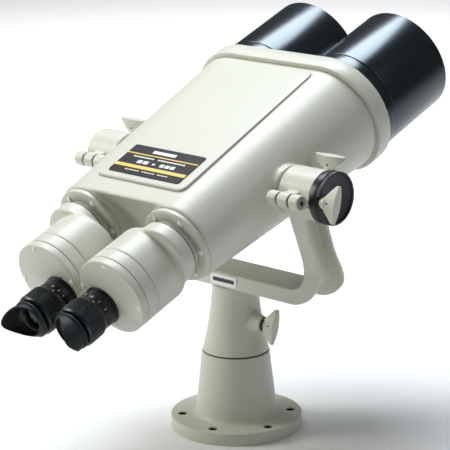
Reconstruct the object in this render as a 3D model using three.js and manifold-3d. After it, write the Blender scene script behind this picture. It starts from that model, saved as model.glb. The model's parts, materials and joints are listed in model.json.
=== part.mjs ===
// Large twin-objective binocular telescope on a fork and pedestal.
// Millimetres, +Z up, +X to the right along the trunnion axis, +Y forward. The origin is the middle
// of the pedestal's underside. Telescope pieces are drawn level about the trunnion axis, then tilted.
import * as THREE from 'three';
import { mergeVertices } from 'three/addons/utils/BufferGeometryUtils.js';
import Module from 'manifold-3d';

const wasm = await Module();
wasm.setup();

// Driving dimensions
const gap = 0.3;                     // air gap between neighbouring pieces
const pitch = 20.5;                  // elevation of the telescope as shown, degrees
const trunnion = { y: -45, z: 342 }; // trunnion axis
const base = { flangeR: 84.8, flangeT: 15.9, footR: 52, topR: 43.7, topZ: 100.7, pcd: 140.2, holeR: 6 };
const spindle = { r: 20, top: 158, threadR: 12 };
const neck = { z0: 102.2, z1: 190.7 };
const bar = { z0: 191, z1: 211, y: 29 };
const arm = { inner: 139.2, outer: 162, bend: 45, innerBend: 22, web: 6 };
const bearing = { outer: 188, r: 31, bore: 18.3, journal: 14.7 };
const hinge = { y: -89, z: 342, r: 9.5, pin: 4, headR: 6.6, mid0: 155.4, mid1: 172.2 };
const capBolt = { x: 165.4, y: -10, r: 4, seat: 357 };
const wing = { span: 22.5, length: 24.3, hubR: 8, thick: 6, tip: 1.2 };
const drum = { x0: 188.5, x1: 204.5, r: 32.4, knobY: -70 };
const tube = { x: 73.2, front: 312, hoodR: 70, hoodIn: 66.5, band0: 160, band1: 181 };
const shell = { rear: -138, rearR: 51, slope: 0.0655, wall: 5 };
const pad = { y0: -113, y1: 148, front: 2.4, rear: 4.6 }; // raised plate on top of the shell
const flange = { y0: -148, y1: -141.4, r: 48.4, bore: 36 };
const prismDrum = { x: 53.4, z: -12.6, r: 49, y0: -235, y1: -165, end: -246 };
const eye = { x: 34.2, z: -28 };
const cup = { r: 24.8, y: -299.4, low: -306, reach: 23, rimR: 23.3, shift: [3.8, 1.8] };
const knobTurn = 75;                 // how far round both clamp handles stand, degrees

// Geometry helpers
function solid(geometry) {
  let g = geometry.index ? geometry.toNonIndexed() : geometry.clone();
  for (const name of Object.keys(g.attributes)) if (name !== 'position') g.deleteAttribute(name);
  g = mergeVertices(g, 1e-4);
  const p = g.attributes.position;
  const [a, b, c] = [new THREE.Vector3(), new THREE.Vector3(), new THREE.Vector3()];
  const faces = [];
  let volume = 0;
  for (let i = 0; i < g.index.count; i += 3) {
    const [i0, i1, i2] = [0, 1, 2].map((k) => g.index.getX(i + k));
    if (i0 === i1 || i1 === i2 || i2 === i0) continue;
    a.fromBufferAttribute(p, i0); b.fromBufferAttribute(p, i1); c.fromBufferAttribute(p, i2);
    volume += a.dot(b.cross(c));
    faces.push([i0, i1, i2]);
  }
  g.setIndex(faces.flatMap((f) => (volume < 0 ? [f[0], f[2], f[1]] : f)));
  return g;
}

function toManifold(geometry) {
  const g = solid(geometry);
  return wasm.Manifold.ofMesh(new wasm.Mesh({
    numProp: 3,
    vertProperties: new Float32Array(g.attributes.position.array),
    triVerts: new Uint32Array(g.index.array),
  }));
}

function fromManifold(manifold) {
  const mesh = manifold.getMesh();
  const g = new THREE.BufferGeometry();
  g.setAttribute('position', new THREE.BufferAttribute(new Float32Array(mesh.vertProperties), 3));
  g.setIndex([...mesh.triVerts]);
  return g;
}

const join = (...parts) => fromManifold(wasm.Manifold.union(parts.map(toManifold)));
const cut = (body, ...tools) => fromManifold(toManifold(body).subtract(toManifold(join(...tools))));

const turned = (profile, segments = 24) => new THREE.LatheGeometry(
  profile.map(([r, h]) => new THREE.Vector2(r, h)), segments).rotateX(Math.PI / 2);
const disc = (r, h0, h1, segments = 24) => turned([[0, h0], [r, h0], [r, h1], [0, h1]], segments);
const ring = (rIn, rOut, h0, h1, segments = 24) => turned(
  [[rIn, h0], [rOut, h0], [rOut, h1], [rIn, h1], [rIn, h0]], segments);
const block = (x0, x1, y0, y1, z0, z1) => new THREE.BoxGeometry(x1 - x0, y1 - y0, z1 - z0)
  .translate((x0 + x1) / 2, (y0 + y1) / 2, (z0 + z1) / 2);
const [X, Y, Z] = [new THREE.Vector3(1, 0, 0), new THREE.Vector3(0, 1, 0), new THREE.Vector3(0, 0, 1)];
const basis = (a, b, c) => new THREE.Matrix4().makeBasis(a, b, c);
// a turned piece laid along X or Y, moved to its axis
const alongX = (g, y = 0, z = 0) => g.applyMatrix4(basis(Y, Z, X)).translate(0, y, z);
const alongY = (g, x = 0, z = 0) => g.applyMatrix4(basis(X, Z.clone().negate(), Y)).translate(x, 0, z);
const shapeOf = (points) => new THREE.Shape(points.map(([u, v]) => new THREE.Vector2(u, v)));
const extruded = (shape, d0, d1) => new THREE.ExtrudeGeometry(
  shape, { depth: d1 - d0, bevelEnabled: false, curveSegments: 8 }).translate(0, 0, d0);
// outline given as [y, z], extruded from x0 to x1
const sideSlab = (points, x0, x1) => extruded(shapeOf(points), x0, x1).applyMatrix4(basis(Y, Z, X));
const mirrored = (g) => g.clone().applyMatrix4(new THREE.Matrix4().makeScale(-1, 1, 1));

function arcPoints(cy, cz, r, from, to, steps) {
  return Array.from({ length: steps + 1 }, (_, i) => {
    const t = THREE.MathUtils.degToRad(from + ((to - from) * i) / steps);
    return [cy + r * Math.cos(t), cz + r * Math.sin(t)];
  });
}

// skin over equal-length rings of points: a hoop joins the last ring to the first,
// anything else is closed with a fan at each end
function skin(rings, isHoop) {
  const n = rings[0].length;
  const points = rings.flat();
  const index = [];
  const spans = isHoop ? rings.length : rings.length - 1;
  for (let k = 0; k < spans; k += 1) {
    const [a, b] = [k * n, ((k + 1) % rings.length) * n];
    for (let i = 0; i < n; i += 1) {
      const j = (i + 1) % n;
      index.push(a + i, a + j, b + j, a + i, b + j, b + i);
    }
  }
  const last = (rings.length - 1) * n;
  for (let i = 1; i < n - 1 && !isHoop; i += 1) index.push(0, i + 1, i, last, last + i, last + i + 1);
  const g = new THREE.BufferGeometry();
  g.setAttribute('position', new THREE.Float32BufferAttribute(points.flatMap((p) => p.toArray()), 3));
  g.setIndex(index);
  return g;
}

// both tubes in one rounded section: two half circles about the tube axes joined by flats
function twinSection(y, r) {
  const side = (from) => arcPoints(0, 0, r, from, from + 180, 14);
  return [...side(-90).map(([u, v]) => new THREE.Vector3(tube.x + u, y, v)),
    ...side(90).map(([u, v]) => new THREE.Vector3(-tube.x + u, y, v))];
}
const twinLoft = (stations) => skin(stations.map(([y, r]) => twinSection(y, r)), false);
const shellR = (y) => shell.rearR + (y - shell.rear) * shell.slope;
const padTop = (y) => shellR(y) + pad.front + ((pad.rear - pad.front) * (pad.y1 - y)) / (pad.y1 - pad.y0);

// Materials
const paint = (color, roughness, metalness = 0) => () => new THREE.MeshStandardMaterial(
  { color, roughness, metalness });
const cream = paint(0xd6d8cc, 0.45);
const black = paint(0x17181c, 0.4);
const rubber = paint(0x101012, 0.85);
const steel = paint(0x8d9094, 0.35, 0.9);
const brass = paint(0xb08d45, 0.4, 0.9);
const glass = paint(0x9fc4cf, 0.05);
const white = paint(0xf4f4f2, 0.5);

const assembly = new THREE.Group();
assembly.name = 'binocular_telescope';
function add(name, geometry, material) {
  const mesh = new THREE.Mesh(solid(geometry), material());
  mesh.name = name;
  assembly.add(mesh);
}
const tilt = new THREE.Matrix4().makeTranslation(0, trunnion.y, trunnion.z)
  .multiply(new THREE.Matrix4().makeRotationX(THREE.MathUtils.degToRad(pitch)));
const addTilted = (name, geometry, material) => add(name, geometry.clone().applyMatrix4(tilt), material);
function addPair(name, geometry, material, put = addTilted) {
  put(`right_${name}`, geometry, material);
  put(`left_${name}`, mirrored(geometry), material);
}

// Pedestal
const baseHoles = arcPoints(0, 0, base.pcd / 2, 47, 347, 5)
  .map(([x, y]) => disc(base.holeR, -5, 25, 12).translate(x, y, 0));
add('pedestal_base', cut(turned([
  [0, 0], [base.flangeR, 0], [base.flangeR, base.flangeT - 1], [base.flangeR - 1, base.flangeT],
  [base.footR + 8, base.flangeT], [base.footR + 2, 18], [base.footR, 24], [base.topR, base.topZ],
  [31.3, base.topZ], [31.3, 76], [26.3, 76], [26.3, 13], [0, 13]], 24), ...baseHoles), cream);
add('lower_azimuth_bearing', ring(spindle.r + gap, 26, 24.5, 41), brass);
add('upper_azimuth_bearing', ring(spindle.r + gap, 31, 77, 99.5), brass);
add('thrust_washer', ring(21, 41, 101, 101.9, 24), black);

// Fork: spindle, neck and yoke
add('azimuth_spindle', turned([[0, 14.5], [spindle.threadR, 14.5], [spindle.threadR, 24],
  [spindle.r, 24], [spindle.r, spindle.top], [0, spindle.top]]), steel);
add('spindle_nut', cut(disc(20, 15, 23.5, 6), disc(spindle.threadR + gap, 10, 30, 24)), steel);
const neckBossZ = 144;
add('fork_neck', cut(join(
  turned([[0, neck.z0], [43, neck.z0], [40.5, 112], [37.6, 125], [34.6, 142], [32.1, 160], [30.2, 176],
    [29.5, neck.z1], [0, neck.z1]], 28),
  alongX(turned([[0, 15], [12.8, 15], [12.3, 38], [10.2, 47.5], [9.7, 49], [0, 49]]), 0, neckBossZ)),
disc(spindle.r + gap, 90, 160, 24), alongX(disc(5, 15, 55, 12), 0, neckBossZ)), cream);
add('azimuth_brake_shoe', alongX(disc(4.6, 20.6, 27, 12), 0, neckBossZ), brass);

const forkOutline = new THREE.Shape();
const armTop = 334;
forkOutline.moveTo(arm.outer, armTop);
forkOutline.lineTo(arm.outer, bar.z0 + arm.bend);
forkOutline.absarc(arm.outer - arm.bend, bar.z0 + arm.bend, arm.bend, 0, -Math.PI / 2, true);
forkOutline.absarc(arm.bend - arm.outer, bar.z0 + arm.bend, arm.bend, -Math.PI / 2, -Math.PI, true);
forkOutline.lineTo(-arm.outer, armTop);
forkOutline.lineTo(-arm.inner, armTop);
forkOutline.absarc(arm.innerBend - arm.inner, bar.z1 + arm.innerBend, arm.innerBend, Math.PI, Math.PI * 1.5);
forkOutline.absarc(arm.inner - arm.innerBend, bar.z1 + arm.innerBend, arm.innerBend, -Math.PI / 2, 0);
forkOutline.lineTo(arm.inner, armTop);
const forkBlank = extruded(forkOutline, -bar.y, 100).applyMatrix4(basis(X, Z, Y.clone().negate()));
const behindArms = sideSlab([[-bar.y, 150], [-bar.y, 240], [-36, 262], [-42, 277], [-56, 311], [-62, 325],
  [-72, 345], [-130, 345], [-130, 150]], -200, 200);
const beforeArms = sideSlab([[60, 150], [bar.y, 150], [bar.y, 215], [4, 262], [-8, 294], [-12, 312],
  [-12, 350], [60, 350]], -200, 200);
const lowerHalf = [[trunnion.y + bearing.r, trunnion.z - 0.15],
  ...arcPoints(trunnion.y, trunnion.z, bearing.r, -4, -176, 12), [trunnion.y - bearing.r, trunnion.z - 0.15]];
// open channel round the outside of each arm and bend, between a rear and a front flange
const webEdge = arm.inner + arm.web;
const webBend = arm.innerBend + arm.web;
const webOutline = [[-webEdge, 400], ...arcPoints(webBend - webEdge, bar.z1 + arm.innerBend, webBend, 180, 270, 8),
  ...arcPoints(webEdge - webBend, bar.z1 + arm.innerBend, webBend, 270, 360, 8), [webEdge, 400]];
const armChannel = cut(sideSlab([[-22, 180], [-22, 241], [-29, 263], [-35, 278], [-49, 312], [-55, 326],
  [-17, 326], [-16.5, 312], [-12.5, 294], [-0.5, 262], [24.5, 214], [24.5, 180]], -170, 170),
extruded(shapeOf(webOutline), -100, 100).applyMatrix4(basis(X, Z, Y.clone().negate())),
block(-50, 50, -100, 100, 170, 220));
const boltHole = (r, z0, z1) => disc(r, z0, z1, 12).translate(capBolt.x, capBolt.y, 0);
const knuckle = (x0, x1) => alongX(disc(hinge.r, x0, x1, 16), hinge.y, hinge.z);
const pinHole = alongX(join(disc(hinge.pin + gap, 130, 200, 12), disc(hinge.headR + gap, 183.9, 200, 16)),
  hinge.y, hinge.z);
const bearingBore = alongX(disc(bearing.bore, 130, 200, 24), trunnion.y, trunnion.z);
const seatAdded = () => join(
  sideSlab(lowerHalf, arm.inner, bearing.outer),
  block(154.9, 175.9, -34, 0.5, 324, trunnion.z - 0.15),
  knuckle(arm.inner, hinge.mid0 - 0.4), knuckle(hinge.mid1 + 0.4, bearing.outer),
  block(arm.inner, hinge.mid0 - 0.4, hinge.y, -66, 333, 341.85),
  block(hinge.mid1 + 0.4, bearing.outer, hinge.y, -66, 333, 341.85));
const seatCut = () => join(bearingBore, pinHole, boltHole(5.3, 315, 350));
add('fork_yoke', cut(join(cut(forkBlank, behindArms, beforeArms, armChannel), seatAdded(), mirrored(seatAdded())),
  seatCut(), mirrored(seatCut())), cream);
add('yoke_label', block(-15, 29, -bar.y - 0.7, -bar.y - gap, 194, 208), white);
addPair('trunnion_bush', alongX(ring(bearing.journal + gap, 18, 140, 187.6), trunnion.y, trunnion.z), brass, add);
addPair('hinge_pin', alongX(join(disc(hinge.pin, 139.6, 187.8, 12), disc(hinge.headR, 184.2, 187.8, 16)),
  hinge.y, hinge.z), steel, add);

// Bearing caps with their wing bolts
const upperHalf = [[trunnion.y - bearing.r, trunnion.z + 0.15],
  ...arcPoints(trunnion.y, trunnion.z, bearing.r, 176, 4, 12), [trunnion.y + bearing.r, trunnion.z + 0.15]];
addPair('bearing_cap', cut(join(
  sideSlab(upperHalf, arm.inner, bearing.outer),
  block(154.9, 175.9, -34, 0.5, trunnion.z + 0.15, capBolt.seat),
  knuckle(hinge.mid0, hinge.mid1),
  block(hinge.mid0, hinge.mid1, hinge.y, -66, 342.15, 350.5)),
bearingBore, pinHole, boltHole(capBolt.r + 0.6, 330, 370), boltHole(10.2, capBolt.seat, 385)), cream, add);

// wing handle along the screw's axis from 0: a round hub, then a wing that thins towards its tips.
// Each station gives how far across it is, and where along the axis the wing starts there.
const wingStations = [[wing.span, 20.8], [22, 19.6], [15, 14.1], [8, 8.6], [0, 6]];
const wingRing = ([across, low]) => {
  const t = wing.tip + (wing.thick - wing.tip) * (1 - (across / wing.span) ** 2);
  return [[-t, low], [t, low], [t, wing.length], [-t, wing.length]].map(
    ([thick, along]) => new THREE.Vector3(across, thick, along));
};
const wings = () => skin([...wingStations, ...wingStations.slice(0, -1).reverse().map(
  ([across, low]) => [-across, low])].map(wingRing), false);
const wingHead = () => join(wings(), disc(wing.hubR, 0, 9, 16));
const knobAngle = THREE.MathUtils.degToRad(knobTurn);
addPair('cap_bolt', join(disc(capBolt.r, 334, capBolt.seat + 1.8, 12), disc(9, capBolt.seat + gap, 358.9, 16),
  wingHead().translate(0, 0, 358.7)).translate(capBolt.x, capBolt.y, 0), cream, add);
add('azimuth_clamp_knob', alongX(join(disc(4.6, 27.6, 50, 12), disc(9.3, 49.3, 52.5, 16),
  disc(wing.hubR, 52, 53.2, 16), wings().rotateZ(knobAngle).translate(0, 0, 44.2)), 0, neckBossZ), cream);

// Elevation brake on the right-hand bearing
add('brake_drum', alongX(turned([[15.2, drum.x0], [drum.r, drum.x0], [drum.r, 198], [28.8, 198],
  [28.8, 191], [15.2, 191], [15.2, drum.x0]], 28), trunnion.y, trunnion.z), black);
add('brake_cover', cut(alongX(turned([[0, 198.3], [drum.r, 198.3], [drum.r, drum.x1 - 1],
  [drum.r - 1, drum.x1], [28, drum.x1], [25, 201.5], [0, 201.5]], 28), trunnion.y, trunnion.z),
alongX(disc(10, 200.3, 210, 16), drum.knobY, trunnion.z),
alongX(disc(4.4, 190, 210, 12), drum.knobY, trunnion.z)), black);
add('brake_pad', alongX(disc(3.4, 195.4, 197.6, 12), drum.knobY, trunnion.z), rubber);
add('elevation_clamp_knob', alongX(join(disc(4, 198.2, 202, 12),
  wingHead().rotateZ(knobAngle).translate(0, 0, 201.4)), drum.knobY, trunnion.z), cream);

// Telescope body
const tubeCut = (r, y0, y1, segments = 28) => alongY(disc(r, y0, y1, segments), tube.x);
const bothTubes = (r, y0, y1) => [tubeCut(r, y0, y1), mirrored(tubeCut(r, y0, y1))];
const boss = () => alongX(disc(30, 118, 134.6, 28));
const topPad = sideSlab([[pad.y0 - 1, shellR(pad.y0 - 1) - 1], [pad.y0, padTop(pad.y0)],
  [pad.y1, padTop(pad.y1)], [pad.y1 + 2, shellR(pad.y1 + 2) - 1]], -tube.x, tube.x);
// hollow between the two tube ends at the back
const webHollow = cut(sideSlab([[-150, 49], [-139.5, 49], [-131, 38], [-128, 20], [-127, 0], [-128, -20],
  [-131, -38], [-139.5, -49], [-150, -49]], -52, 52), ...bothTubes(49.8, -160, -100));
const housing = cut(join(
  twinLoft([[shell.rear, shellR(shell.rear) - 1.5], [shell.rear + 2, shellR(shell.rear + 2)],
    [tube.band0 - 2, shellR(158)], [tube.band0, 74.5], [tube.band0 + 2, 76], [tube.band1 - 2, 76],
    [tube.band1, 74.5]]),
  ...bothTubes(49.8, -141.1, -120), topPad),
webHollow, twinLoft([[-122, shellR(-122) - shell.wall], [174, shellR(174) - shell.wall]]),
...bothTubes(66.3, 165, 190), ...bothTubes(43, -150, -115));
addTilted('body_casting', join(housing, boss(), mirrored(boss())), cream);
addTilted('label_plate', sideSlab([[-104, padTop(-104) + gap], [-49, padTop(-49) + gap],
  [-49, padTop(-49) + gap + 1], [-104, padTop(-104) + gap + 1]], -59, 59), black);
addTilted('right_trunnion', alongX(turned([[0, 134.9], [24, 134.9], [24, 138.4], [bearing.journal, 138.4],
  [bearing.journal, 190], [11, 190], [11, 195], [0, 195]])), steel);
addTilted('left_trunnion', mirrored(alongX(turned([[0, 134.9], [24, 134.9], [24, 138.4],
  [bearing.journal, 138.4], [bearing.journal, 187.6], [0, 187.6]]))), steel);
addTilted('brake_disc', alongX(ring(11.3, 28.3, 191.4, 195, 24)), steel);
addPair('hood_ring', alongY(ring(tube.hoodIn, 71, tube.band1 + gap, 191.7, 24), tube.x), black);
addPair('lens_hood', alongY(turned([[tube.hoodIn, 192], [tube.hoodR, 192], [tube.hoodR, 310.5],
  [69, tube.front], [67.5, tube.front], [tube.hoodIn, 310.5], [tube.hoodIn, 192]], 24), tube.x), black);
addPair('objective_cell', alongY(turned([[60.4, 166], [65.6, 166], [65.6, 191], [58.8, 191], [58.8, 189.3],
  [60.4, 189.3], [60.4, 166]], 28), tube.x), black);
addPair('objective_lens', alongY(turned([[0, 188], [30, 186.4], [52, 182.2], [60, 179.5], [60, 173.5],
  [52, 171.2], [30, 168.6], [0, 167.5]], 28), tube.x), glass);
addPair('rear_flange', alongY(turned([[flange.bore, flange.y0], [flange.r - 2.5, flange.y0],
  [flange.r, flange.y0 + 2.5], [flange.r, flange.y1], [flange.bore, flange.y1], [flange.bore, flange.y0]], 28),
tube.x), cream);

// Prism units, one behind each tube, turning about the tube axis to set the eye spacing
const drumDisc = (r, y0, y1, segments = 28) => alongY(disc(r, y0, y1, segments), prismDrum.x, prismDrum.z);
const eyeTurned = (profile, segments = 24) => alongY(turned(profile, segments), eye.x, eye.z);
addPair('prism_housing', cut(join(tubeCut(35.6, -160, -135), tubeCut(40, -176, -157),
  alongY(turned([[0, prismDrum.y0], [prismDrum.r, prismDrum.y0], [prismDrum.r, -172], [47, -167.5],
    [43, prismDrum.y1], [0, prismDrum.y1]], 28), prismDrum.x, prismDrum.z)),
tubeCut(28, -175, -130, 24), drumDisc(45, -240, -170)), cream);
addPair('retaining_ring', alongY(ring(flange.bore - 0.1, 42.6, -140.8, -136, 28), tube.x), steel);
addPair('prism_end_cap', cut(alongY(turned([[0, prismDrum.end], [prismDrum.r - 2, prismDrum.end],
  [prismDrum.r, prismDrum.end + 2], [prismDrum.r, -235.4], [45, -235.4], [45, -241], [0, -241]], 28),
prismDrum.x, prismDrum.z), alongY(disc(17.8, -250, -235, 24), eye.x, eye.z)), cream);

// 90 degree prism: long face at y0, roof edge at y1, its run turned to the given angle
function porroPrism(centre, angle, y0, y1) {
  const half = 25.5;
  const g = extruded(shapeOf([[-half, y0], [half, y0], [0, y1]]), -12.5, 12.5);
  return g.rotateY(THREE.MathUtils.degToRad(-angle))
    .translate(prismDrum.x + centre[0], 0, prismDrum.z + centre[1]);
}
addPair('rear_prism', porroPrism([12.7, -2.8], 77.5, -206, -230), glass);
addPair('front_prism', porroPrism([-2.8, -12.7], -12.5, -201, -177), glass);

// Eyepieces
addPair('eyepiece_seat', eyeTurned([[14.5, -238], [17.5, -238], [17.5, -246.3], [24.3, -246.3],
  [24.3, -249.4], [19, -249.4], [19, -255], [14.5, -255], [14.5, -238]]), black);
addPair('focus_ring', eyeTurned([[19.3, -249.8], [24, -249.8], [24, -262], [25.6, -264],
  [26.5, -280], [26.5, -294], [25, -296], [19.3, -296], [19.3, -249.8]]), black);
addPair('eyepiece_barrel', eyeTurned([[15.4, -260], [18.9, -260], [18.9, -299], [20.4, -299],
  [20.4, -304], [15.4, -304], [15.4, -260]]), black);
addPair('eye_lens', eyeTurned([[0, -287], [9, -287.6], [15, -289.5], [15, -292], [9, -294], [0, -294.6]], 24),
  glass);

// rubber cup: a ridged collar, then a wing that reaches back on the outboard side. The rim is a round
// line about a point shifted outboard and up, and it draws in towards the tip of the wing.
const cupAngles = Array.from({ length: 28 }, (_, i) => (i * Math.PI * 2) / 28);
const cupSections = cupAngles.map((angle) => {
  const reach = (1 + Math.cos(angle - 0.28)) / 2;
  const [dx, dz] = [Math.cos(angle), Math.sin(angle)];
  const rimR = cup.rimR - 4.6 * reach ** 4;
  const rim = { x: cup.shift[0] + rimR * dx, y: cup.low - cup.reach * reach ** 2.6, z: cup.shift[1] + rimR * dz };
  const middle = { x: (22.9 * dx + rim.x) / 2 + 1.2 * reach * dx, y: (rim.y - 303.6) / 2,
    z: (22.9 * dz + rim.z) / 2 + 1.2 * reach * dz };
  const round = (r, y) => ({ x: r * dx, y, z: r * dz });
  const inside = (p, wall, lift) => ({ x: p.x - wall * dx, y: p.y + lift, z: p.z - wall * dz });
  return [round(cup.r, cup.y), round(cup.r, -301.6), round(22.9, -303.6), middle, rim,
    inside(rim, 1.6, 0.2), inside(middle, 1.8, 0), round(20.7, -304.5), round(20.7, cup.y)];
});
addPair('eyecup', skin(cupSections[0].map((_, k) => cupSections.map((section) => new THREE.Vector3(
  eye.x + section[k].x, section[k].y, eye.z + section[k].z))), true), rubber);

export default assembly;
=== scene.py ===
"""Looks for a fork-mounted binocular telescope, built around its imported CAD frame.

Shapes are drawn in millimetres and placed in the row frame. Telescope pieces are drawn level about
the trunnion axis (x right, y forward, z up) and then tilted. Paired pieces are drawn on the right,
and the left ones are their mirror images.
"""

import json
import math

import bmesh
import bpy
from mathutils import Matrix, Vector


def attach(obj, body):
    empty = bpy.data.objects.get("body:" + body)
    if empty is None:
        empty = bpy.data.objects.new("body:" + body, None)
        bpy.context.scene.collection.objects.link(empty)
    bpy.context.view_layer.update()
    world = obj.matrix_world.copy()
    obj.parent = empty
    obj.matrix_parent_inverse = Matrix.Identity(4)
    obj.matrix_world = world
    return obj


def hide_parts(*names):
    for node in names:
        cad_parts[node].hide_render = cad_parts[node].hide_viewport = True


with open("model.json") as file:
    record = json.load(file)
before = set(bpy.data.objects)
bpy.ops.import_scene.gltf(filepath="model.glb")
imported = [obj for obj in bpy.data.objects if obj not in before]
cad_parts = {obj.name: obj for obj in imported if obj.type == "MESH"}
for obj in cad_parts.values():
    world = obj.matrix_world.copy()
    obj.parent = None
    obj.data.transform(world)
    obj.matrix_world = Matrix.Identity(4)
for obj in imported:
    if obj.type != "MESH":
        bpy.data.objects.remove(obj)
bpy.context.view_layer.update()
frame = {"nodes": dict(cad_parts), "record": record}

MM = 0.001
LEVEL = Matrix.Identity(4)
MIRROR = Matrix.Scale(-1, 4, Vector((1, 0, 0)))

# Axes that several pieces share. The cap hinges and the elevation clamp are level with the trunnions.
TRUNNION_Y, TRUNNION_Z = -45, 342
HINGE_Y = -89
CLAMP_Y = -70
AZIMUTH_CLAMP_Z = 144
CAP_BOLT = (165.4, -10)

# Axes of the telescope, from the trunnion axis before the tilt
TUBE_X = 73.2
DRUM_X, DRUM_Z = 53.4, -12.6
EYE_X, EYE_Z = 34.2, -28
TILT = Matrix.Translation((0, TRUNNION_Y, TRUNNION_Z)) @ Matrix.Rotation(math.radians(20.5), 4, "X")

# Camera: behind the eyepieces, to the right and a little above
AZIMUTH, ELEVATION, ROLL = (math.radians(a) for a in (42.77, 14.85, -0.66))
DISTANCE, PAN, RISE, LENS = 2518, -12.85, 63.93, 157.9
PIVOT, SENSOR = Vector((0, 0, 200)), 36
back = Vector((math.sin(AZIMUTH) * math.cos(ELEVATION), -math.cos(AZIMUTH) * math.cos(ELEVATION),
               math.sin(ELEVATION)))
level_right = Vector((math.cos(AZIMUTH), math.sin(AZIMUTH), 0))
level_up = back.cross(level_right)
right = math.cos(ROLL) * level_right + math.sin(ROLL) * level_up
up = math.cos(ROLL) * level_up - math.sin(ROLL) * level_right
eye_point = (PIVOT + PAN * right + RISE * up + DISTANCE * back) * MM
camera_data = bpy.data.cameras.new("camera")
camera_data.lens, camera_data.sensor_width = LENS, SENSOR
camera = bpy.data.objects.new("camera", camera_data)
bpy.context.scene.collection.objects.link(camera)
camera.matrix_world = Matrix.Translation(eye_point) @ Matrix((right, up, back)).transposed().to_4x4()
bpy.context.scene.camera = camera


# Materials
def material(name, color, roughness, metallic=0.0, coat=0.0, spread=0.0, grain=0.0, grain_size=400.0,
             bump=0.0, transmission=0.0, specular=0.5, tint_of_shine=(1, 1, 1)):
    """A Principled finish: colour and roughness drift gently, and a fine grain lifts the surface."""
    mat = bpy.data.materials.new(name)
    mat.use_nodes = True
    nodes, links = mat.node_tree.nodes, mat.node_tree.links
    shader = nodes["Principled BSDF"]
    shader.inputs["Metallic"].default_value = metallic
    shader.inputs["Coat Weight"].default_value = coat
    shader.inputs["Coat Roughness"].default_value = 0.12
    shader.inputs["Transmission Weight"].default_value = transmission
    shader.inputs["IOR"].default_value = 1.5
    shader.inputs["Specular IOR Level"].default_value = specular
    shader.inputs["Specular Tint"].default_value = (*tint_of_shine, 1)
    place = nodes.new("ShaderNodeTexCoord")

    def noise(scale, detail):
        texture = nodes.new("ShaderNodeTexNoise")
        texture.inputs["Scale"].default_value = scale
        texture.inputs["Detail"].default_value = detail
        links.new(place.outputs["Object"], texture.inputs["Vector"])
        return texture.outputs["Fac"]

    tint = nodes.new("ShaderNodeMix")
    tint.data_type = "RGBA"
    tint.inputs["A"].default_value = (*[c * (1 - spread) for c in color], 1)
    tint.inputs["B"].default_value = (*[min(1, c * (1 + spread)) for c in color], 1)
    links.new(noise(9.0, 3.0), tint.inputs["Factor"])
    links.new(tint.outputs["Result"], shader.inputs["Base Color"])
    fine = noise(grain_size, 2.0)
    gloss = nodes.new("ShaderNodeMapRange")
    gloss.inputs["To Min"].default_value = max(0.02, roughness - grain)
    gloss.inputs["To Max"].default_value = roughness + grain
    links.new(fine, gloss.inputs["Value"])
    links.new(gloss.outputs["Result"], shader.inputs["Roughness"])
    if bump:
        lift = nodes.new("ShaderNodeBump")
        lift.inputs["Strength"].default_value = bump
        lift.inputs["Distance"].default_value = 0.0002
        links.new(fine, lift.inputs["Height"])
        links.new(lift.outputs["Normal"], shader.inputs["Normal"])
    return mat


# One finish for each slot of the CAD
finishes = {
    "cream_paint": material("cream_enamel", (0.63, 0.635, 0.54), 0.4, coat=0.08, spread=0.03,
                            grain=0.06, grain_size=420, bump=0.22),
    "black_metal": material("black_enamel", (0.006, 0.008, 0.011), 0.32, specular=0.45, spread=0.15,
                            grain=0.05, grain_size=900, bump=0.08),
    "black_rubber": material("moulded_rubber", (0.012, 0.015, 0.017), 0.55, specular=0.3, spread=0.2,
                             grain=0.08, grain_size=1100, bump=0.25),
    "steel": material("turned_steel", (0.55, 0.56, 0.57), 0.28, metallic=1, spread=0.06, grain=0.08),
    "bronze": material("bearing_bronze", (0.62, 0.45, 0.2), 0.35, metallic=1, spread=0.1, grain=0.08),
    "white_sticker": material("sticker_film", (0.95, 0.95, 0.94), 0.4, spread=0.02, grain=0.04),
    "black_plate": material("plate_enamel", (0.01, 0.01, 0.012), 0.5, specular=0.3, spread=0.1, grain=0.03),
    "optical_glass": material("coated_glass", (0.72, 0.9, 0.86), 0.04, transmission=0.9, spread=0.04,
                              grain=0.01),
}

# Finishes of single pieces
# The bluish tints of shine on the hoods and grips are painted reflection colour, for the blue of the lamps'
# light
hood_enamel = material("hood_enamel", (0.004, 0.006, 0.008), 0.23, spread=0.15, grain=0.04, grain_size=900,
                       bump=0.03, specular=0.97, tint_of_shine=(0.76, 0.92, 1))
grip_metal = material("knurled_grip", (0.005, 0.006, 0.008), 0.28, spread=0.1, grain=0.04, grain_size=900,
                      specular=0.65, tint_of_shine=(0.85, 0.94, 1))
pin_grey = material("pin_grey", (0.3, 0.31, 0.27), 0.4, spread=0.05, grain=0.05)
# Near-white screw heads: a painted highlight, standing in for the light that the metal heads catch
screw_highlight_white = material("screw_highlight_white", (0.95, 0.96, 0.95), 0.3, coat=0.4, spread=0.02, grain=0.04)
yellow_ink = material("yellow_ink", (0.86, 0.62, 0.10), 0.4, spread=0.05, grain=0.05)
white_ink = material("white_ink", (0.82, 0.82, 0.8), 0.42, spread=0.03, grain=0.05)
dark_ink = material("dark_ink", (0.03, 0.03, 0.035), 0.45, spread=0.1, grain=0.05)
# hole_shade: near-black painted shade for holes, gaps and sockets
hole_shade = material("hole_shade", (0.012, 0.012, 0.012), 0.8, spread=0.2, grain=0.05)
# line_shade: painted shade along the foot of the top pad
line_shade = material("line_shade", (0.3, 0.27, 0.22), 0.6, spread=0.1, grain=0.05)

slot_of = {s["node"]: s["material_slot"] for s in frame["record"]["subparts"]}
for node_name, node in frame["nodes"].items():
    node.data.materials.clear()
    node.data.materials.append(finishes[slot_of[node_name]])


# Outlines: lists of 2-D points
EASE_SHARE = 0.45


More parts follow.
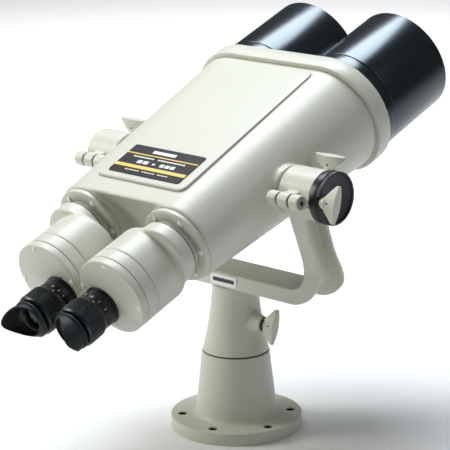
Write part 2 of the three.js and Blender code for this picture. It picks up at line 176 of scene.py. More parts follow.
def soften(points, radius, steps=4, closed=False):
    """Rounds the corners of a line of points, each over no more than EASE_SHARE of its two sides."""
    n, out = len(points), []
    for i, corner in enumerate(points):
        if not closed and i in (0, n - 1):
            out.append(corner)
            continue
        c = Vector(corner)
        before, after = Vector(points[i - 1]) - c, Vector(points[(i + 1) % n]) - c
        reach = min(radius, before.length * EASE_SHARE, after.length * EASE_SHARE)
        a, b = c + before.normalized() * reach, c + after.normalized() * reach
        for k in range(steps + 1):
            t = k / steps
            out.append(tuple(a * (1 - t) ** 2 + c * 2 * t * (1 - t) + b * t * t))
    return out


def arc(cx, cy, r, start, end, steps=24):
    turns = [math.radians(start + (end - start) * k / steps) for k in range(steps + 1)]
    return [(cx + r * math.cos(t), cy + r * math.sin(t)) for t in turns]


def rounded_box(x0, x1, y0, y1, corner, steps=6):
    return soften([(x0, y0), (x1, y0), (x1, y1), (x0, y1)], corner, steps, True)


# Shapes: each is (points, faces)
def skin(rings, hoop=False):
    """Quads over equal rings of points; a hoop also joins the last ring to the first."""
    n = len(rings[0])
    faces = []
    for k in range(len(rings) if hoop else len(rings) - 1):
        a, b = k * n, ((k + 1) % len(rings)) * n
        faces += [(a + i, a + (i + 1) % n, b + (i + 1) % n, b + i) for i in range(n)]
    if not hoop:
        faces += [tuple(range(n)), tuple(range(len(rings) * n - 1, (len(rings) - 1) * n - 1, -1))]
    return [p for ring in rings for p in ring], faces


def lathe(profile, segments=96, closed=False, ribs=0, depth=0.0, ribbed=lambda h: True):
    """Turns (r, h) points about Z. Ribs lift the surface by depth where ribbed(h) says."""
    rings = []
    for r, h in profile:
        ring = []
        for k in range(segments):
            t = 2 * math.pi * k / segments
            lift = depth * (0.5 + 0.5 * math.cos(ribs * t)) if ribs and ribbed(h) else 0
            ring.append(((r + lift) * math.cos(t), (r + lift) * math.sin(t), h))
        rings.append(ring)
    return skin(rings, closed)


def hoop(profile, edge, segments, steps=3, **ribs):
    """A closed (r, h) section with eased corners, turned about Z."""
    return lathe(soften(profile, edge, steps, True), segments, True, **ribs)


def tube(r_in, r_out, h0, h1, edge=0.4, segments=96):
    return hoop([(r_in, h0), (r_out, h0), (r_out, h1), (r_in, h1)], edge, segments)


def disc(r, h0, h1, edge=0.4, segments=64):
    return lathe(soften([(0, h0), (r, h0), (r, h1), (0, h1)], edge, 3), segments)


def rod(r, h0, h1, segments=64):
    """A plain cylinder with sharp ends, for cutting."""
    return lathe([(0, h0), (r, h0), (r, h1), (0, h1)], segments)


def slab(outline, d0, d1):
    return skin([[(x, y, d) for x, y in outline] for d in (d0, d1)])


def box(x0, x1, y0, y1, z0, z1):
    return slab([(x0, y0), (x1, y0), (x1, y1), (x0, y1)], z0, z1)


def merge(*shapes):
    points, faces = [], []
    for p, f in shapes:
        faces += [tuple(i + len(points) for i in face) for face in f]
        points = points + list(p)
    return points, faces


# Moves
def moved(shape, change):
    return [change(*p) for p in shape[0]], shape[1]


def shift(shape, x=0, y=0, z=0):
    return moved(shape, lambda a, b, c: (a + x, b + y, c + z))


def spin(shape, degrees):
    """Turned about the shape's own Z axis."""
    c, s = math.cos(math.radians(degrees)), math.sin(math.radians(degrees))
    return moved(shape, lambda x, y, z: (x * c - y * s, x * s + y * c, z))


def flipped(shape):
    return moved(shape, lambda x, y, z: (-x, y, z))


def along_x(shape, y=0, z=0):
    """Local x, y, z become Y, Z, X."""
    return moved(shape, lambda a, b, c: (c, a + y, b + z))


def along_y(shape, x=0, z=0):
    """Local x, y, z become X, Z, Y."""
    return moved(shape, lambda a, b, c: (a + x, c, b + z))


def on_trunnion(shape):
    return along_x(shape, TRUNNION_Y, TRUNNION_Z)


def on_hinge(shape):
    return along_x(shape, HINGE_Y, TRUNNION_Z)


def on_clamp(shape):
    return along_x(shape, CLAMP_Y, TRUNNION_Z)


def on_tube(shape):
    return along_y(shape, TUBE_X)


def on_drum(shape):
    return along_y(shape, DRUM_X, DRUM_Z)


def on_eye(shape):
    return along_y(shape, EYE_X, EYE_Z)


# Meshes and pieces
def tidy_mesh(name, shape, place=LEVEL):
    mesh = bpy.data.meshes.new(name)
    mesh.from_pydata([place @ Vector(p) * MM for p in shape[0]], [], shape[1])
    bm = bmesh.new()
    bm.from_mesh(mesh)
    bmesh.ops.remove_doubles(bm, verts=bm.verts, dist=1e-6)
    bmesh.ops.recalc_face_normals(bm, faces=bm.faces)
    bm.to_mesh(mesh)
    bm.free()
    return mesh


def temporary(shape):
    obj = bpy.data.objects.new("temporary", tidy_mesh("temporary", shape))
    bpy.context.scene.collection.objects.link(obj)
    return obj


def baked(obj, *helpers):
    """The object's shape with its modifiers applied. The object and its helpers are then removed."""
    bpy.context.view_layer.update()
    mesh = bpy.data.meshes.new_from_object(obj.evaluated_get(bpy.context.evaluated_depsgraph_get()))
    for o in (obj, *helpers):
        bpy.data.objects.remove(o)
    return [tuple(v.co / MM) for v in mesh.vertices], [tuple(p.vertices) for p in mesh.polygons]


def carved(shape, *cutters):
    """The shape with the cutters taken away."""
    obj, tools = temporary(shape), [temporary(c) for c in cutters]
    for tool in tools:
        cut = obj.modifiers.new("cut", "BOOLEAN")
        cut.operation, cut.solver, cut.object = "DIFFERENCE", "EXACT", tool
    return baked(obj, *tools)


def cast(shape, voxel, rounds):
    """Melts overlapping solids into one soft-edged casting."""
    obj = temporary(shape)
    melt = obj.modifiers.new("melt", "REMESH")
    melt.mode, melt.voxel_size, melt.use_smooth_shade = "VOXEL", voxel * MM, True
    ease = obj.modifiers.new("ease", "SMOOTH")
    ease.factor, ease.iterations = 0.5, rounds
    return baked(obj)


def piece(name, shape, body, finish, place=LEVEL, stands_for=(), sharp=40, look=None):
    """A shown piece that rides on a CAD body. finish is a slot name or a material; look overrides it."""
    mesh = tidy_mesh(name, shape, place)
    mesh.materials.append(look or (finishes[finish] if isinstance(finish, str) else finish))
    mesh.polygons.foreach_set("use_smooth", [True] * len(mesh.polygons))
    mesh.set_sharp_from_angle(angle=math.radians(sharp))
    obj = bpy.data.objects.new(name, mesh)
    bpy.context.scene.collection.objects.link(obj)
    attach(obj, body)
    if stands_for:
        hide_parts(*stands_for)


def pair(name, shape, body, finish, place=LEVEL, stands_for=(), sharp=40, look=None):
    """The piece on the right, and its mirror image on the left. {} in a name is the side."""
    for side, flip in (("right", LEVEL), ("left", MIRROR)):
        piece(name.format(side), shape, body.format(side), finish, place @ flip,
              [node.format(side) for node in stands_for], sharp, look)


# Pedestal
FLANGE_R, FLANGE_TOP = 84.8, 15.9
BOLT_CIRCLE_R, BOLT_HOLE_R = 70.1, 6
foot_curve = [(57.5, 16.4), (55, 17.8), (53.4, 20), (52.4, 23), (51.8, 27)]
pedestal_profile = (
    soften([(0, 0), (FLANGE_R, 0), (FLANGE_R, FLANGE_TOP), (61, FLANGE_TOP)], 1.3, 4) + foot_curve
    + soften([(50, 44), (43.7, 100.7), (31.3, 100.7), (31.3, 76), (26.3, 76), (26.3, 13), (0, 13)], 0.7, 3))
bolt_places = arc(0, 0, BOLT_CIRCLE_R, 47, 347, 5)
bolt_holes = [shift(rod(BOLT_HOLE_R, -5, 25, 32), x, y) for x, y in bolt_places]
piece("pedestal_casting", carved(lathe(pedestal_profile, 128), *bolt_holes), "pedestal", "cream_paint",
      stands_for=["pedestal_base"])
# Dark walls and floors inside the bolt holes: painted shade in the holes
hole_shade_shell = merge(tube(BOLT_HOLE_R - 0.6, BOLT_HOLE_R - 0.1, 1, 14.4, 0.1, 32),
                    disc(BOLT_HOLE_R - 0.2, 0.8, 1.6, 0.1, 32))
piece("bolt_hole_shades", merge(*[shift(hole_shade_shell, x, y) for x, y in bolt_places]), "pedestal", hole_shade)

# Neck with its side boss
neck_side = [(43, 102.3), (40.4, 112), (37.6, 125), (34.7, 142), (32.2, 160), (30.4, 176), (29.8, 190.6)]
neck_boss = carved(lathe([(0, 22), (16, 22), (12.6, 38), (10.2, 47.5), (9.5, 49), (0, 49)], 64),
                   rod(5, 10, 60, 32))
neck = merge(lathe([(20.3, 102.3), *neck_side, (0, 190.6)], 128), along_x(neck_boss, 0, AZIMUTH_CLAMP_Z))
piece("neck_casting", cast(neck, 1.2, 5), "fork", "cream_paint", stands_for=["fork_neck"], sharp=60)

# Fork bar and arms
ARM_OUT, ARM_IN, ARM_TOP = 162, 139.2, 334
BAR_LOW, BAR_TOP = 191, 211
BEND, IN_BEND = 45, 22
outer_line = (
    [(ARM_OUT, ARM_TOP)] + arc(ARM_OUT - BEND, BAR_LOW + BEND, BEND, 0, -90)
    + arc(BEND - ARM_OUT, BAR_LOW + BEND, BEND, -90, -180) + [(-ARM_OUT, ARM_TOP)])
inner_line = (
    [(-ARM_IN, ARM_TOP)] + arc(IN_BEND - ARM_IN, BAR_TOP + IN_BEND, IN_BEND, 180, 270)
    + arc(ARM_IN - IN_BEND, BAR_TOP + IN_BEND, IN_BEND, -90, 0) + [(ARM_IN, ARM_TOP)])


def side_cutter(outline):
    """Cuts (y, z) outlines through the whole fork."""
    return along_x(slab(outline, -200, 200))


behind = side_cutter([(-29, 150), (-29, 238), (-31.5, 250), (-36, 262), (-42, 277), (-49, 294), (-56, 311),
                      (-62, 325), (-72, 345), (-130, 345), (-130, 150)])
before = side_cutter([(60, 150), (29, 150), (29, 213), (24, 226), (4, 262), (-8, 294), (-12, 312),
                      (-12, 350), (60, 350)])

# The channel along the outside of each arm leaves a web on the inside
WEB, WEB_BEND = ARM_IN + 6, IN_BEND + 6
WEB_LOW = BAR_TOP - 6
channel = along_x(slab([(-22, 180), (-22, 240), (-29, 263), (-35, 278), (-42, 295), (-49, 312), (-55, 326),
                        (-17, 326), (-16.5, 312), (-12.5, 294), (-0.5, 262), (24.5, 214), (24.5, 180)],
                       50, 170))
web_outline = ([(0, 400), (0, WEB_LOW)]
               + arc(WEB - WEB_BEND, WEB_LOW + WEB_BEND, WEB_BEND, 270, 360) + [(WEB, 400)])
channel = carved(channel, along_y(slab(web_outline, -100, 100)))

# Trunnion bearings: a lower half on each arm and a hinged cap
BEARING_R, BEARING_OUT, JOURNAL_R = 31, 188, 18.3
SEAT_TOP, CAP_LOW = 341.7, 342.3
LUG_X0, LUG_X1, LUG_TOP = 154.9, 175.9, 357
bore = on_trunnion(rod(JOURNAL_R, 130, 200))
pin_bore = on_hinge(rod(4.3, 130, 200, 32))
head_bore = on_hinge(rod(7.1, 184, 200, 48))
bolt_bore = shift(rod(5.3, 300, 370, 32), *CAP_BOLT)


def knuckle(x0, x1):
    return on_hinge(disc(9.5, x0, x1, 0.8, 48))


lower_seat = on_trunnion(slab(
    [(BEARING_R, SEAT_TOP - TRUNNION_Z)] + arc(0, 0, BEARING_R, -1, -179, 40)
    + [(-BEARING_R, SEAT_TOP - TRUNNION_Z)], ARM_IN, BEARING_OUT))
lower_lug = box(LUG_X0, LUG_X1, -34, 0.5, 324, SEAT_TOP)
side_pieces = [carved(lower_seat, bore, bolt_bore), carved(lower_lug, bore, bolt_bore)]
for x0, x1 in ((ARM_IN, 154.6), (173, BEARING_OUT)):
    leaf = box(x0, x1, HINGE_Y, -66, 333.5, SEAT_TOP)
    side_pieces += [carved(knuckle(x0, x1), pin_bore, head_bore), carved(leaf, bore, pin_bore, head_bore)]
bar = carved(along_y(slab(outer_line + inner_line, -100, 29)), behind, before, channel, flipped(channel),
             bore, flipped(bore), bolt_bore, flipped(bolt_bore))
yoke = merge(bar, *side_pieces, *[flipped(s) for s in side_pieces])
piece("yoke_casting", cast(yoke, 1.2, 5), "fork", "cream_paint", stands_for=["fork_yoke"], sharp=60)
piece("yoke_sticker", along_y(slab(rounded_box(-15, 29, 194, 208, 1, 3), -29.75, -29.35)), "fork",
      "white_sticker", stands_for=["yoke_label"])
piece("yoke_sticker_bar", along_y(slab(rounded_box(-11, 25, 198.5, 203.5, 1, 3), -29.85, -29.7)), "fork",
      dark_ink)

# Hinge pins with a hexagon socket, and the trunnion bushes
pin_head = carved(disc(6.6, 184.3, 187.8, 0.6, 48), rod(3.6, 185.4, 190, 6))
pair("{}_cap_hinge_pin", on_hinge(merge(disc(4, 139.6, 184.5, 0.5, 48), pin_head)), "fork", "steel",
     stands_for=["{}_hinge_pin"], look=pin_grey)
# A black hexagon near the bottom of each socket: painted shade in the socket
pair("{}_pin_socket_shade", on_hinge(rod(3.4, 185.2, 187.1, 6)), "fork", hole_shade)
# Black rings in the gaps between the knuckles: painted shade in the gaps
knuckle_gap_shades = merge(tube(4.2, 8.9, 154.75, 155.65, 0.1), tube(4.2, 8.9, 171.95, 172.85, 0.1))
pair("{}_knuckle_gap_shades", on_hinge(knuckle_gap_shades), "fork", hole_shade)
pair("{}_bearing_bush", on_trunnion(tube(15, 18, 140, 187.6)), "fork", "bronze",
     stands_for=["{}_trunnion_bush"])

# Bearing caps
upper_seat = on_trunnion(slab(
    [(-BEARING_R, CAP_LOW - TRUNNION_Z)] + arc(0, 0, BEARING_R, 179, 1, 40)
    + [(BEARING_R, CAP_LOW - TRUNNION_Z)], ARM_IN, BEARING_OUT))
washer_seat = shift(rod(10.2, LUG_TOP, 390, 48), *CAP_BOLT)
cap_shape = merge(
    carved(upper_seat, bore, bolt_bore, washer_seat),
    carved(box(LUG_X0, LUG_X1, -34, 0.5, CAP_LOW, LUG_TOP), bore, bolt_bore),
    carved(knuckle(155.8, 171.8), pin_bore),
    carved(box(155.8, 171.8, HINGE_Y, -68, CAP_LOW, 350.5), bore, pin_bore))
pair("{}_cap_casting", cast(cap_shape, 0.9, 4), "{}_cap", "cream_paint", stands_for=["{}_bearing_cap"],
     sharp=60)

# Wing handles
WING_LENGTH = 24.3
WING_EDGE = ((22.6, 20.9), (22, 19.4), (19, 17.1), (15, 14), (11.5, 11.3), (8, 8.2), (4, 6), (0, 6))


def wing_handle(hub_from=0.0):
    """Hub and wings, thick in the middle and thin at the tips. The screw's axis is Z, from 0."""
    rings = []
    for across, low in WING_EDGE:
        t = 1.5 + 4.7 * (1 - (across / 22.5) ** 2)
        rings.append([(across, -t, low), (across, t, low),
                      (across, t, WING_LENGTH), (across, -t, WING_LENGTH)])
    rings += [[(-x, y, z) for x, y, z in ring] for ring in rings[-2::-1]]
    return cast(merge(skin(rings), disc(7.9, hub_from, 10, 1.6, 48)), 0.55, 5)


PIN_HEIGHT = 13
BOLT_SEAT = 358.7
wing_bolt = merge(wing_handle(), disc(4, -24.7, 1, 0.5, 48))
# A dark dot on the wing's face: painted shade in the pin hole
pin_hole_shade = moved(disc(1.15, 5.2, 6.5, 0.1, 24), lambda x, y, z: (x, -z, y + PIN_HEIGHT))
bolt_place = Matrix.Translation((*CAP_BOLT, BOLT_SEAT))
for side, flip in (("right", LEVEL), ("left", MIRROR)):
    body, place = f"{side}_bolt", flip @ bolt_place
    piece(f"{side}_cap_wing_bolt", wing_bolt, body, "cream_paint", place, [f"{side}_cap_bolt"], 60)
    piece(f"{side}_cap_bolt_washer", tube(4.2, 9.4, -1.3, -0.1), body, "black_metal", place)
    piece(f"{side}_cap_bolt_pin_hole_shade", pin_hole_shade, body, hole_shade, place)

# Clamp knobs, both at the same turn
KNOB_TURN = 75
KNOB_X = 201.4
# The knobs' dark dots are painted shade in their pin holes too.
knob_hole_shade = spin(pin_hole_shade, KNOB_TURN + 180)
azimuth_knob = merge(shift(spin(wing_handle(5.3), KNOB_TURN), 0, 0, 44.2), disc(4.6, 28, 52, 0.5, 48))
piece("azimuth_knob", along_x(azimuth_knob, 0, AZIMUTH_CLAMP_Z), "azimuth_clamp", "cream_paint",
      stands_for=["azimuth_clamp_knob"], sharp=60)
piece("azimuth_knob_ring", along_x(tube(4.8, 9.3, 49.2, 52.6, 0.8), 0, AZIMUTH_CLAMP_Z), "azimuth_clamp",
      "black_rubber")
piece("azimuth_knob_pin_hole_shade", along_x(shift(knob_hole_shade, 0, 0, 47.6), 0, AZIMUTH_CLAMP_Z), "azimuth_clamp",
      hole_shade)
elevation_knob = merge(shift(spin(wing_handle(3.4), KNOB_TURN), 0, 0, KNOB_X),
                       disc(4, 198.3, 207, 0.4, 48))
piece("elevation_knob", on_clamp(elevation_knob), "elevation_clamp", "cream_paint",
      stands_for=["elevation_clamp_knob"], sharp=60)
knurled_washer = hoop([(4.1, 202.6), (5.6, 202.6), (5.6, 204.9), (4.1, 204.9)], 0.3, 240, ribs=24, depth=0.5)
piece("elevation_knob_washer", on_clamp(knurled_washer), "elevation_clamp", "bronze")
piece("elevation_knob_pin_hole_shade", on_clamp(shift(knob_hole_shade, 0, 0, KNOB_X)), "elevation_clamp", hole_shade)

# Elevation brake
DRUM_R, COVER_R = 32.4, 32.0
drum_section = [(15.2, 188.5), (DRUM_R, 188.5), (DRUM_R, 198), (28.8, 198), (28.8, 191), (15.2, 191)]
piece("brake_drum_shell", on_trunnion(hoop(drum_section, 0.5, 128)), "fork", "black_metal",
      stands_for=["brake_drum"])
cover_profile = soften([(0, 198.4), (31.8, 198.4), (31.8, 199.4), (COVER_R, 199.6), (COVER_R, 204.4),
                        (29.4, 204.4), (28.2, 202.2), (9, 201.4), (8, 202), (0, 202)], 0.4, 3)
cover = lathe(cover_profile, 360, ribs=120, depth=0.4, ribbed=lambda h: 199.5 < h < 204.5)
knob_recess, screw_way = on_clamp(rod(10, 200.2, 210, 48)), on_clamp(rod(4.4, 190, 210, 32))
piece("brake_cover_dish", carved(on_trunnion(cover), knob_recess, screw_way), "fork", "black_metal",
      stands_for=["brake_cover"], sharp=35)

# Telescope casting
REAR_Y, REAR_R, TAPER = -138, 51, 0.0655


def shell_r(y):
    """The tubes widen from rear to front."""
    return REAR_R + (y - REAR_Y) * TAPER


def twin(stations):
    """Both tubes in one rounded section at each (y, radius)."""
    rings = []
    for y, r in stations:
        half = arc(TUBE_X, 0, r, -90, 90, 40)
        rings.append([(x, y, z) for x, z in half] + [(-x, y, -z) for x, z in half])
    return skin(rings)


def ways(r, y0, y1):
    """Cutters for both light paths."""
    one = on_tube(rod(r, y0, y1, 96))
    return one, flipped(one)


WALL = 6
NECK_BORE_R, STUB_R = 43, 49.8
hollow = twin([(-119, shell_r(-119) - WALL), (172, shell_r(172) - WALL)])
web_hollow = along_x(slab([(-150, 48.5), (-140, 48.5), (-133, 41), (-129, 28), (-126.5, 0), (-129, -28),
                           (-133, -41), (-140, -48.5), (-150, -48.5)], -53, 53))
main_shell = carved(twin([(-140, shell_r(-140) - 1.2), (-139, shell_r(-139)), (158, shell_r(158))]), hollow,
                    *ways(NECK_BORE_R, -150, -110))
main_shell = carved(main_shell, carved(web_hollow, *ways(STUB_R, -160, -100)))
stub = on_tube(lathe([(NECK_BORE_R, -141.1), (STUB_R, -141.1), (STUB_R, -112), (NECK_BORE_R, -112)], 128,
                     True))
boss = along_x(disc(30, 116, 134.6, 1.5, 96))
body_shape = merge(main_shell, stub, flipped(stub), boss, flipped(boss))
piece("telescope_casting", cast(body_shape, 1.6, 4), "telescope", "cream_paint", TILT, ["body_casting"], 60)
BAND_R = 76
band_stations = [(157, BAND_R - 5.6), (157, BAND_R - 1.2), (157.4, BAND_R - 0.4), (158.2, BAND_R),
                 (179.8, BAND_R), (180.6, BAND_R - 0.4), (181, BAND_R - 1.2)]
piece("front_band", carved(twin(band_stations), *ways(66.3, 150, 190)), "telescope", "cream_paint", TILT)

# Raised pad on top, with a thin dark strip of painted shade about its foot
PAD = 2.4
PAD_X, PAD_REAR, PAD_FRONT, PAD_CORNER = 73, -113, 148, 11


def pad_top(y):
    """The pad stands a little prouder at its rear end."""
    return shell_r(y) + PAD + 1 - 0.004 * (y - PAD_REAR)


def on_pad(outline, low, high):
    """A flat shape that lies on the pad."""
    return moved(slab(outline, low, high), lambda x, y, z: (x, y, z + pad_top(y)))


def pad_outline(inset):
    return rounded_box(inset - PAD_X, PAD_X - inset, PAD_REAR + inset, PAD_FRONT - inset, PAD_CORNER - inset)


pad_rings = [[(x, y, lift + pad_top(y)) for x, y in pad_outline(inset)]
             for inset, lift in ((0, -5.5), (0, -1.3), (0.5, -0.5), (1.3, -0.1), (2.4, 0))]
piece("top_pad", skin(pad_rings), "telescope", "cream_paint", TILT, sharp=50)
# A thin brownish strip about the pad's foot: painted shade along the step
pad_edge_shade = moved(slab(pad_outline(-0.4), -1.2, 0.25), lambda x, y, z: (x, y, z + shell_r(y)))
piece("top_pad_edge_shade", pad_edge_shade, "telescope", line_shade, TILT)

# Name plate with plain bars in place of lettering: each line is (x0, x1, y0, y1, number of bars)
LINES = [(-22, 26, -60.6, -55.2, 1), (-44, -9, -72, -69.6, 9), (-3, 43, -72, -69.6, 10),
         (-30, -10, -82.6, -76.8, 2), (-5, 1, -81.4, -78.4, 1), (8, 34, -82.6, -76.8, 3),
         (-36, -12, -97.6, -95.9, 6), (-8, 14, -97.6, -95.9, 5), (18, 36, -97.6, -95.9, 5)]
STRIPES = ((-66.4, -64.6), (-92.3, -86.8))
plate_bars = [rounded_box(x0 + (x1 - x0) * k / n, x0 + (x1 - x0) * (k + 0.8) / n, y0, y1, 0.7, 3)
              for x0, x1, y0, y1, n in LINES for k in range(n)]
plate_stripes = [rounded_box(-58.7, 58.7, y0, y1, 0.3, 2) for y0, y1 in STRIPES]
piece("name_plate", on_pad(rounded_box(-59, 59, -104, -49, 3.5), -0.2, 1.1), "telescope", "black_plate",
      TILT, ["label_plate"])
piece("name_plate_stripes", merge(*[on_pad(stripe, 1, 1.25) for stripe in plate_stripes]), "telescope",
      yellow_ink, TILT)
piece("name_plate_bars", merge(*[on_pad(bar, 1, 1.2) for bar in plate_bars]), "telescope", white_ink, TILT)

# Trunnions
trunnion_profile = soften([(0, 134.9), (24, 134.9), (24, 138.4), (14.7, 138.4), (14.7, 187.6), (0, 187.6)],
                          0.6, 3)
pair("{}_trunnion_stub", along_x(lathe(trunnion_profile, 96)), "telescope", "steel", TILT, ["{}_trunnion"])

# Hoods and objectives
HOOD_IN_R, HOOD_R, HOOD_FRONT = 66.5, 70, 312
hood_ring = [(HOOD_IN_R, 181.3), (70.9, 181.3), (70.9, 198.6), (69.6, 199.8), (HOOD_IN_R, 199.8)]
hood_tube = [(HOOD_IN_R, 200.4), (69.3, 200.4), (HOOD_R, 201.2), (HOOD_R, HOOD_FRONT - 1),
             (HOOD_R - 1, HOOD_FRONT), (67.3, HOOD_FRONT), (HOOD_IN_R, HOOD_FRONT - 1)]
lens_cell = [(60.4, 166), (65.6, 166), (65.6, 191), (58.8, 191), (58.8, 189.3), (60.4, 189.3)]
front_face = [(6 * k, 188 - 8.5 * (k / 10) ** 2) for k in range(11)]
rear_face = [(60, 173.5)] + [(6 * k, 167.5 + 6 * (k / 10) ** 2) for k in range(9, -1, -1)]
pair("{}_hood_base_ring", on_tube(hoop(hood_ring, 0.5, 160)), "telescope", "black_metal", TILT,
     ["{}_hood_ring"], look=hood_enamel)
pair("{}_hood_tube", on_tube(hoop(hood_tube, 0.5, 160)), "telescope", "black_metal", TILT,
     ["{}_lens_hood"], look=hood_enamel)
pair("{}_lens_cell", on_tube(hoop(lens_cell, 0.4, 128)), "telescope", "black_metal", TILT,
     ["{}_objective_cell"])
pair("{}_front_lens", on_tube(lathe(front_face + rear_face, 128)), "telescope", "optical_glass", TILT,
     ["{}_objective_lens"])


# Slotted screws
SLOT_TURN = 2.3


def screw(r, height):
    dome = [(r * math.cos(t), height * math.sin(t)) for t in (0, 0.3, 0.6, 0.9, 1.2)]
    head = lathe([(0, -1), (r, -1), *dome, (0, height)], 32)
    return carved(head, box(-r - 1, r + 1, -0.35, 0.35, height * 0.45, height + 1))


def screws_about(cx, cz, ring_r, angles, plane, r, height):
    """Screw heads that face rearwards on a circle about a level axis, each with its slot turned."""
    heads = []
    for angle in angles:
        x, z = cx + ring_r * math.cos(math.radians(angle)), cz + ring_r * math.sin(math.radians(angle))
        head = moved(spin(screw(r, height), angle * SLOT_TURN), lambda a, b, c: (a, -c, b))
        heads.append(shift(head, x, plane, z))
    return merge(*heads)


# Rear flanges
FLANGE_REAR = -148
flange_section = [(36, FLANGE_REAR), (46.2, FLANGE_REAR), (46.5, -147.5), (47.6, -147.5), (48.4, -146.6),
                  (48.4, -141.4), (36, -141.4)]
pair("{}_flange_ring", on_tube(hoop(flange_section, 0.35, 128)), "telescope", "cream_paint", TILT,
     ["{}_rear_flange"])
# The flange screws' near-white colour is a painted highlight.
pair("{}_flange_screws", screws_about(TUBE_X, 0, 40.3, range(0, 360, 60), FLANGE_REAR, 3.8, 2),
     "telescope", screw_highlight_white, TILT)

# Prism units: a neck on the tube's axis, and a drum and end cap set off from it
DRUM_OUT_R, DRUM_IN_R, WAY_R = 49, 44.6, 25
CAP_REAR = -246
neck_section = [(WAY_R, -177), (38.6, -177), (40, -175.2), (40, -159), (39.2, -157.6), (WAY_R, -157.6)]
neck_part = carved(on_tube(lathe(neck_section, 128, True)), on_drum(rod(45, -240, -171, 128)))
drum_profile = [(0, -171), (DRUM_IN_R, -171), (DRUM_IN_R, -218.4), (DRUM_OUT_R, -218.4), (DRUM_OUT_R, -174),
                (48.2, -170.4), (46, -167.6), (42, -166.2), (0, -166)]
drum_part = carved(on_drum(lathe(drum_profile, 128)), on_tube(rod(WAY_R, -171.5, -150, 96)))
pair("{}_prism_casing", cast(merge(neck_part, drum_part), 1.1, 9), "{}_prism_unit", "cream_paint",
     TILT, ["{}_prism_housing"], 60)
sleeve_section = [(30, -157), (35.6, -157), (35.6, -135.2), (30, -135.2)]
groove_shade_section = [(30, -157.7), (38.7, -157.7), (38.7, -156.9), (30, -156.9)]
band_section = [(DRUM_IN_R, -234.9), (48.9, -234.9), (49.15, -234), (49.15, -219.8), (48.9, -218.8),
                (DRUM_IN_R, -218.8)]
pair("{}_prism_sleeve", on_tube(hoop(sleeve_section, 0.3, 128)), "{}_prism_unit", "cream_paint", TILT)
# A thin black ring in the groove between the neck and the sleeve: painted shade in the groove
pair("{}_prism_groove_shade", on_tube(lathe(groove_shade_section, 128, True)), "{}_prism_unit", "black_metal", TILT)
pair("{}_prism_band", on_drum(hoop(band_section, 0.3, 128, 2)), "{}_prism_unit", "cream_paint", TILT)
cap_profile = soften([(0, CAP_REAR), (DRUM_OUT_R, CAP_REAR), (DRUM_OUT_R, -235.5), (45, -235.5), (45, -241),
                      (0, -241)], 1.4, 5)
pair("{}_prism_cap", carved(on_drum(lathe(cap_profile, 128)), on_eye(rod(17.8, -260, -230))),
     "{}_prism_unit", "cream_paint", TILT, ["{}_prism_end_cap"])
# The end cap screws' near-white colour is a painted highlight.
pair("{}_prism_cap_screws", screws_about(DRUM_X, DRUM_Z, 43.6, (82, 172, -8, -98), CAP_REAR, 3.1, 1.3),
     "{}_prism_unit", screw_highlight_white, TILT)
pair("{}_index_dot", shift(on_eye(disc(0.9, -246.25, -245.8, 0.1, 24)), -7.7, 0, 25.6), "{}_prism_unit",
     hole_shade, TILT)

# Eyepieces
mount_section = [(14.5, -238), (17.5, -238), (17.5, -246.3), (25.1, -246.3), (25.1, -248.6), (23.2, -249),
                 (23.2, -250.2), (24, -250.8), (24, -263.9), (19, -263.9), (19, -266), (14.5, -266)]
pair("{}_eyepiece_mount", on_eye(hoop(mount_section, 0.35, 128, 2)), "{}_prism_unit", "black_metal", TILT,
     ["{}_eyepiece_seat"])
KNURLS, KNURL_STEP = 20, 1.2
grip_section = (
    soften([(19.3, -264.3), (24.1, -264.3), (24.6, -268.5), (25.6, -270)], 0.5, 3)
    + [(25.2 + 0.6 * (k % 2) + 0.05 * min(k, 8), -270.4 - KNURL_STEP * k) for k in range(KNURLS)]
    + soften([(25.9, -294.2), (25, -296), (19.3, -296)], 0.5, 3))
grip = lathe(grip_section, 432, True, ribs=64, depth=0.7, ribbed=lambda h: -294 < h < -270.2)
pair("{}_focus_grip", on_eye(grip), "{}_focus", "black_metal", TILT, ["{}_focus_ring"], 30, grip_metal)
barrel_section = [(15.4, -271), (18.9, -271), (18.9, -299), (20.4, -299), (20.4, -303.6), (18.6, -304),
                  (17.6, -301), (15.4, -300)]
lens_ring_section = [(12.6, -297.4), (15.2, -297.4), (15.2, -300.4), (14, -300.4)]
front_curve = [(2.5 * k, -287 - 2.5 * (k / 6) ** 2) for k in range(7)]
rear_curve = [(15, -292)] + [(2.5 * k, -295.6 + 3.6 * (k / 6) ** 2) for k in range(5, -1, -1)]
pair("{}_barrel_tube", on_eye(hoop(barrel_section, 0.4, 96)), "{}_eyepiece", "black_metal", TILT,
     ["{}_eyepiece_barrel"])
pair("{}_lens_ring", on_eye(hoop(lens_ring_section, 0.3, 96)), "{}_eyepiece", "black_metal", TILT)
pair("{}_ocular", on_eye(lathe(front_curve + rear_curve, 64)), "{}_eyepiece", "optical_glass", TILT,
     ["{}_eye_lens"])


# Painted marks on the eyepieces. Each side has its own angles, so they are not mirrored.
def scale_mark(x_eye, angle, y0, y1, r, width):
    """A painted mark on a turned band about an eyepiece axis."""
    mark = box(-width / 2, width / 2, y0, y1, r - 0.3, r + 0.12)
    t = math.radians(angle - 90)
    c, s = math.cos(t), math.sin(t)
    return moved(mark, lambda x, y, z: (x_eye + x * c - z * s, y, EYE_Z + x * s + z * c))


for side, x_eye, angles in (("right", EYE_X, (103, 76, 49, 22)), ("left", -EYE_X, (108, 72, 50, 30))):
    piece(f"{side}_scale_marks", merge(*[scale_mark(x_eye, a, -263, -259.4, 24, 0.9) for a in angles]),
          f"{side}_prism_unit", white_ink, TILT)
    piece(f"{side}_scale_dot", scale_mark(x_eye, 60, -267.4, -265.6, 24.3, 1.8), f"{side}_focus",
          white_ink, TILT)


# Eyecups
CUP_REAR, WING_REACH = -306, 22.7
WING_TURN = 0.28


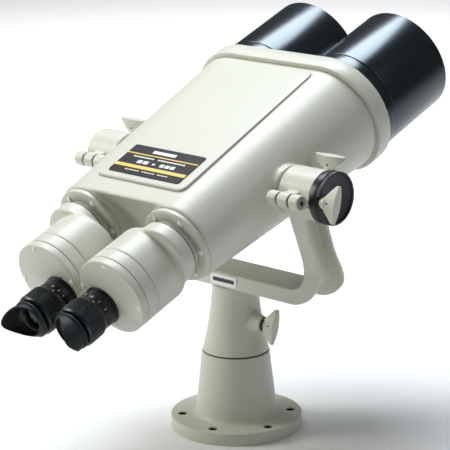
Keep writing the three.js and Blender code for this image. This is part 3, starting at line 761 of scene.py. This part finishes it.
def cup_section(turn):
    """The cup's section on one side of its axis: a ridged collar, the wing, its lip and the inside."""
    side = Vector((math.cos(turn), 0, math.sin(turn)))
    outboard = (1 + math.cos(turn - WING_TURN)) / 2
    rim = Vector((3.8, CUP_REAR - WING_REACH * outboard ** 2.6, 1.8)) + (23.3 - 4.6 * outboard ** 4) * side

    def at(r, y):
        return r * side + Vector((0, y, 0))

    def across(f, wall=0.0):
        """A point on the wing, from its root (0) to its rim (1)."""
        return at(22.9, -303.4).lerp(rim, f) + (5 * f * (1 - f) * outboard - wall) * side

    collar = [at(24.3, -299.4), at(24.8, -299.9), at(24.8, -301.4), at(24.2, -302.1), at(23.2, -302.5),
              at(22.9, -303.4)]
    wing = [across(f) for f in (0.2, 0.4, 0.6, 0.8, 0.95)]
    lip = [rim - 0.3 * side, rim - 0.8 * side - Vector((0, 0.3, 0)), rim - 1.3 * side]
    inside = [across(f, 1.9) + Vector((0, 0.2, 0)) for f in (0.95, 0.8, 0.6, 0.4, 0.2)]
    root = [at(20.9, -304.3), at(20.7, -303.8), at(20.7, -299.4)]
    return collar + wing + lip + inside + root


CUP_COLUMNS = 96
cup_columns = [[(EYE_X + p.x, p.y, EYE_Z + p.z) for p in cup_section(2 * math.pi * k / CUP_COLUMNS)]
               for k in range(CUP_COLUMNS)]
cup = skin([list(ring) for ring in zip(*cup_columns)], True)
pair("{}_winged_cup", cup, "{}_eyepiece", "black_rubber", TILT, ["{}_eyecup"])

# Floor
bpy.ops.mesh.primitive_plane_add(size=60, location=(0, 0, -0.0002))
floor = bpy.context.active_object
floor.name = "floor"
floor.data.materials.append(material("floor_white", (0.9, 0.9, 0.9), 0.9, spread=0.01, grain=0.02,
                                     specular=0.2))


# Light
def area_light(name, power, size, place, target, color=(1, 1, 1)):
    data = bpy.data.lights.new(name, "AREA")
    data.energy, data.color, data.shape = power, color, "RECTANGLE"
    data.size, data.size_y = size
    light = bpy.data.objects.new(name, data)
    bpy.context.scene.collection.objects.link(light)
    light.location = place
    light.rotation_euler = (Vector(target) - Vector(place)).to_track_quat("-Z", "Y").to_euler()


area_light("overhead", 80, (1.8, 1.3), (-0.7, 0.5, 2.6), (0, 0, 0.3), (0.88, 0.92, 1))
area_light("left_side", 40, (1.0, 1.4), (-1.9, -1.6, 1.5), (0, 0, 0.3), (1, 0.98, 0.9))
area_light("right_strip", 7, (0.6, 1.4), (1.9, 0.3, 1.9), (0, 0, 0.35), (0.95, 0.98, 1))
area_light("backdrop", 60, (3.0, 1.2), (-1.5, 1.9, 1.9), (-2.6, 3.2, 0))
world = bpy.data.worlds.new("studio")
world.use_nodes = True
world.node_tree.nodes["Background"].inputs["Color"].default_value = (0.96, 0.98, 1, 1)
world.node_tree.nodes["Background"].inputs["Strength"].default_value = 0.1
bpy.context.scene.world = world
bpy.context.scene.view_settings.view_transform = "Standard"
